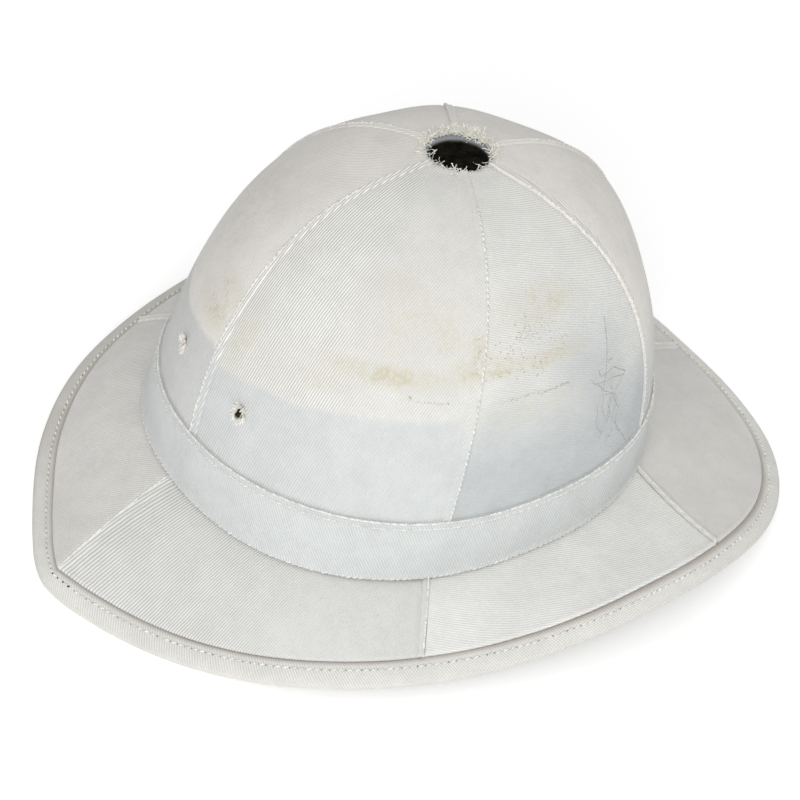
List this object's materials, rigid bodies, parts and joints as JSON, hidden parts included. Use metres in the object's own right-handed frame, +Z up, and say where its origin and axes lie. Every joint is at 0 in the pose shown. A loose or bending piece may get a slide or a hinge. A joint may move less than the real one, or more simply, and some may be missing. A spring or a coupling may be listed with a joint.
{
  "type": "sun helmet",
  "caption": "White cloth-covered sun helmet with a domed crown, a sloping brim, a folded hat band and an open round vent at the top, worn to keep sun off the head.",
  "frame": {"origin": "on the floor under the middle of the hat's footprint, as it stands on its brim", "axes": "-Y towards the front of the hat, +X towards the wearer's left, +Z up through the vent"},
  "size_m": [0.295, 0.353, 0.1693],
  "materials": {
    "twill_white": "dull cotton twill",
    "band_white": "dull folded cotton",
    "tape_white": "dull ribbed cotton tape",
    "cork": "dull dark moulded cork"
  },
  "bodies": {
    "root": {"crown_panel_front_left": "twill_white", "crown_panel_side_left": "twill_white", "crown_panel_rear_left": "twill_white", "crown_panel_rear_right": "twill_white", "crown_panel_side_right": "twill_white", "crown_panel_front_right": "twill_white", "brim_panel_front_left": "twill_white", "brim_panel_side_left": "twill_white", "brim_panel_rear_left": "twill_white", "brim_panel_rear_right": "twill_white", "brim_panel_side_right": "twill_white", "brim_panel_front_right": "twill_white", "hat_band": "band_white", "brim_binding": "tape_white", "shell": "cork"}
  },
  "joints": []
}
